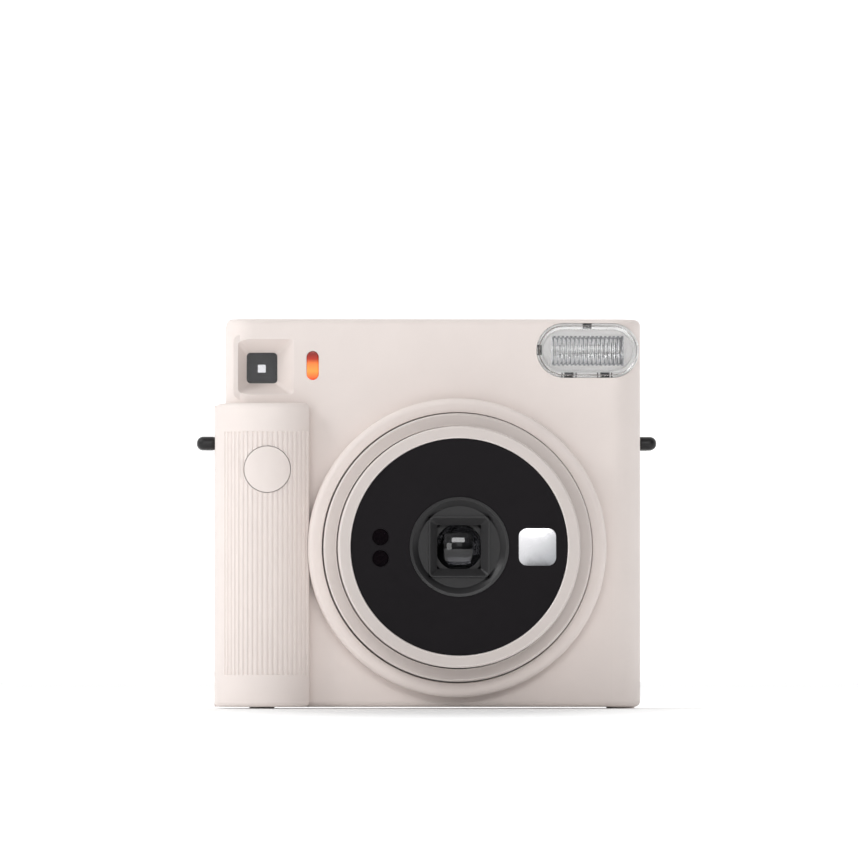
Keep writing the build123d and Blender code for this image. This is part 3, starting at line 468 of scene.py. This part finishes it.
def flash_diffuser():
    """Clear sheet with fine upright ridges in front of the tube."""
    drawing = bmesh.new()
    ridges = 17
    per_ridge = 6
    ridge_depth = 0.22
    sheet_front = -3.65
    sheet_back = -3.3
    low_z = FLASH[1] - OPENING_HEIGHT_MM / 2 + 0.1
    high_z = FLASH[1] + OPENING_HEIGHT_MM / 2 - 0.1
    loops = []
    for step in range(ridges * per_ridge + 1):
        x = FLASH[0] + (step / (ridges * per_ridge) - 0.5) * (OPENING_WIDTH_MM - 0.2)
        front = sheet_front - ridge_depth * abs(math.sin(math.pi * step / per_ridge))
        corners = ((front, low_z), (front, high_z), (sheet_back, high_z), (sheet_back, low_z))
        loops.append([(x * MM, y * MM, z * MM) for y, z in corners])
    loft(drawing, loops, first_cap=True, last_cap=True)
    piece("flash_diffuser", drawing, "clear_plastic", "camera_body")


def flash_tabs():
    """Dark snap tabs that show through the rim: (x, z) from the middle, width, height, in mm."""
    wide = [(-0.2, 7.15, 2.8, 1.1), (-14.5, 0.15, 0.8, 3.0), (-5.8, -7.25, 2.8, 1.2), (5.2, -7.25, 2.8, 1.2)]
    narrow = [(x, -7.25, 0.35, 1.1) for x in (-7.9, -3.6, 3.0, 7.3)]
    drawing = bmesh.new()
    for x, z, width, height in wide + narrow:
        centre = (FLASH[0] + x, FLASH[1] + z)
        shape = ((0.0, -5.3), (0.0, -5.55), (0.08, -5.62))
        loops = [rounded(centre, width - 2 * i, height - 2 * i, 0.12, y, 4) for i, y in shape]
        loft(drawing, loops, first_cap=True, last_cap=True)
    piece("flash_tabs", drawing, "black_plastic", "camera_body")


# ---------------------------------------------------------------- selfie mirror


def tilted_mirror():
    """Rounded-square mirror whose face is barely domed and leans back, so that it shows the room above."""
    drawing = bmesh.new()
    centre = centre_mm("selfie_mirror")
    low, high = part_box("selfie_mirror")
    side = (high.x - low.x) / MM
    lean = math.tan(math.radians(2.8))
    corner = 2.5
    dome = 0.1
    setback = 0.45
    rings = 16
    loops = []
    for step in range(1, rings + 1):
        share = step / rings
        face_y = low.y / MM + setback + dome * share * share
        loop = rounded(centre, side * share, side * share, corner * share, face_y)
        loops.append([(x, y + lean * (z - centre[1] * MM), z) for x, y, z in loop])
    loops.append(rounded(centre, side, side, corner, high.y / MM))
    loft(drawing, loops, first_cap=True, last_cap=True)
    made = piece("selfie_mirror_face", drawing, "mirror", "lens_barrel")
    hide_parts("selfie_mirror")


# ---------------------------------------------------------------- front lens


def lens_element():
    """Front glass ground to a smooth dome, with a flat back."""
    drawing = bmesh.new()
    centre = centre_mm("front_lens")
    low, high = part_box("front_lens")
    radius = (high.x - low.x) / 2 / MM
    curve = 17.0
    rim = 0.8
    rings = 24
    loops = []
    for step in range(1, rings + 1):
        reach = radius * step / rings
        y = low.y / MM + curve - math.sqrt(curve * curve - reach * reach)
        loops.append(rounded(centre, 2 * reach, 2 * reach, reach, y, 24))
    loops.append(rounded(centre, 2 * radius, 2 * radius, radius, y + rim, 24))
    loft(drawing, loops, first_cap=True, last_cap=True)
    made = piece("lens_element", drawing, "lens_glass", "lens_barrel")
    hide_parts("front_lens")


flash_pane()
flash_bezel()
flash_tray()
flash_diffuser()
flash_tabs()
tilted_mirror()
lens_element()


# ---------------------------------------------------------------- studio

LEVEL_TO_Y = -0.034
FLOOR_FALL = 0.05
FLOOR_SIZE = 6.0
# The floor glows only past this ring round the camera, which keeps the background white; the dimmer floor
# inside the ring is painted shade that deepens the shadow under the camera.
GLOW_STARTS = 0.06
GLOW_IS_FULL = 0.095
FLOOR_GLOW = 0.22
# Where the surroundings change, as parts of a unit direction.
FRONT_BLEND = 0.4
BACK_STARTS = -0.4
BACK_IS_FULL = 0.15


def floor():
    """A wide pale sheet, level under the camera and falling gently away in front of it."""
    mesh = bpy.data.meshes.new("studio_floor")
    sheet = bmesh.new()
    bmesh.ops.create_grid(sheet, x_segments=24, y_segments=24, size=FLOOR_SIZE)
    bmesh.ops.bisect_plane(
        sheet,
        geom=sheet.verts[:] + sheet.edges[:] + sheet.faces[:],
        plane_co=(0.0, LEVEL_TO_Y, 0.0),
        plane_no=(0.0, 1.0, 0.0),
    )
    for point in sheet.verts:
        point.co.z = min(0.0, (point.co.y - LEVEL_TO_Y) * FLOOR_FALL)
    sheet.to_mesh(mesh)
    sheet.free()
    made = bpy.data.objects.new("studio_floor", mesh)
    bpy.context.scene.collection.objects.link(made)
    finish = Finish("studio_paper", Specular_IOR_Level=0.1)
    finish.colour(finish.noise(900), (0.93, 0.93, 0.93), (0.95, 0.95, 0.95))
    # Painted shade: no glow within GLOW_STARTS of the middle, full glow past GLOW_IS_FULL.
    reach = finish.node("ShaderNodeVectorMath", operation="LENGTH")
    finish.link(finish.place, reach.inputs[0])
    glow = finish.node("ShaderNodeMapRange")
    glow.inputs["From Min"].default_value = GLOW_STARTS
    glow.inputs["From Max"].default_value = GLOW_IS_FULL
    glow.inputs["To Max"].default_value = FLOOR_GLOW
    finish.link(reach.outputs["Value"], glow.inputs["Value"])
    finish.link(glow.outputs["Result"], finish.shader.inputs["Emission Strength"])
    finish.roughness(finish.noise(40), 0.75, 0.85)
    mesh.materials.append(finish.material)


def softbox(name, place, width, height, power, aim):
    """A rectangular area light at place, facing aim."""
    light = bpy.data.lights.new(name, "AREA")
    light.shape = "RECTANGLE"
    light.size = width
    light.size_y = height
    light.energy = power
    made = bpy.data.objects.new(name, light)
    made.location = place
    made.rotation_euler = (Vector(aim) - Vector(place)).to_track_quat("-Z", "Y").to_euler()
    bpy.context.scene.collection.objects.link(made)


def surroundings(behind, front_low, front_high, bright_side):
    """White walls: even behind the camera body, and running from dark to bright in front of it."""
    world = bpy.data.worlds.new("studio")
    world.use_nodes = True
    bpy.context.scene.world = world
    tree = world.node_tree
    direction = tree.nodes.new("ShaderNodeTexCoord").outputs["Generated"]
    side = tree.nodes.new("ShaderNodeVectorMath")
    side.operation = "DOT_PRODUCT"
    side.inputs[1].default_value = Vector(bright_side).normalized()
    tree.links.new(direction, side.inputs[0])
    front = tree.nodes.new("ShaderNodeMapRange")
    front.interpolation_type = "SMOOTHSTEP"
    front.inputs["From Min"].default_value = -FRONT_BLEND
    front.inputs["From Max"].default_value = FRONT_BLEND
    front.inputs["To Min"].default_value = front_low
    front.inputs["To Max"].default_value = front_high
    tree.links.new(side.outputs["Value"], front.inputs["Value"])
    parts = tree.nodes.new("ShaderNodeSeparateXYZ")
    tree.links.new(direction, parts.inputs["Vector"])
    back = tree.nodes.new("ShaderNodeMapRange")
    back.interpolation_type = "SMOOTHSTEP"
    back.inputs["From Min"].default_value = BACK_STARTS
    back.inputs["From Max"].default_value = BACK_IS_FULL
    tree.links.new(parts.outputs["Y"], back.inputs["Value"])
    strength = tree.nodes.new("ShaderNodeMix")
    strength.inputs["B"].default_value = behind
    tree.links.new(back.outputs["Result"], strength.inputs["Factor"])
    tree.links.new(front.outputs["Result"], strength.inputs["A"])
    tree.links.new(strength.outputs["Result"], tree.nodes["Background"].inputs["Strength"])
    tree.nodes["Background"].inputs["Color"].default_value = (1.0, 1.0, 1.0, 1.0)


def studio_camera(place, aim, frame_width):
    """A long lens at place, looking at aim, that takes in frame_width there."""
    distance = (Vector(aim) - Vector(place)).length
    lens = bpy.data.cameras.new("studio_camera")
    lens.sensor_width = 36.0
    lens.lens = lens.sensor_width * distance / frame_width
    made = bpy.data.objects.new("studio_camera", lens)
    made.location = place
    made.rotation_euler = (Vector(aim) - Vector(place)).to_track_quat("-Z", "Y").to_euler()
    bpy.context.scene.collection.objects.link(made)
    bpy.context.scene.camera = made


LENS_CENTRE = (0.0088, -0.033, 0.0491)

floor()
surroundings(behind=1.16, front_low=0.02, front_high=0.37, bright_side=(-0.7, 0.0, 0.7))
softbox("key", (-1.5, -0.7, 1.2), 0.8, 0.8, 12.0, LENS_CENTRE)
softbox("mirror_fill", (0.1, -1.6, 0.27), 0.3, 0.3, 0.22, LENS_CENTRE)
softbox("lens_strip", (0.04, -1.6, 0.5), 0.75, 0.26, 5.0, LENS_CENTRE)
softbox("lens_patch", (-0.5, -1.6, 0.12), 0.3, 0.4, 1.2, LENS_CENTRE)
studio_camera(place=(-0.093, -3.0, 0.012), aim=(0.0004, -0.007, 0.0855), frame_width=0.2625)
bpy.context.scene.view_settings.view_transform = "Standard"
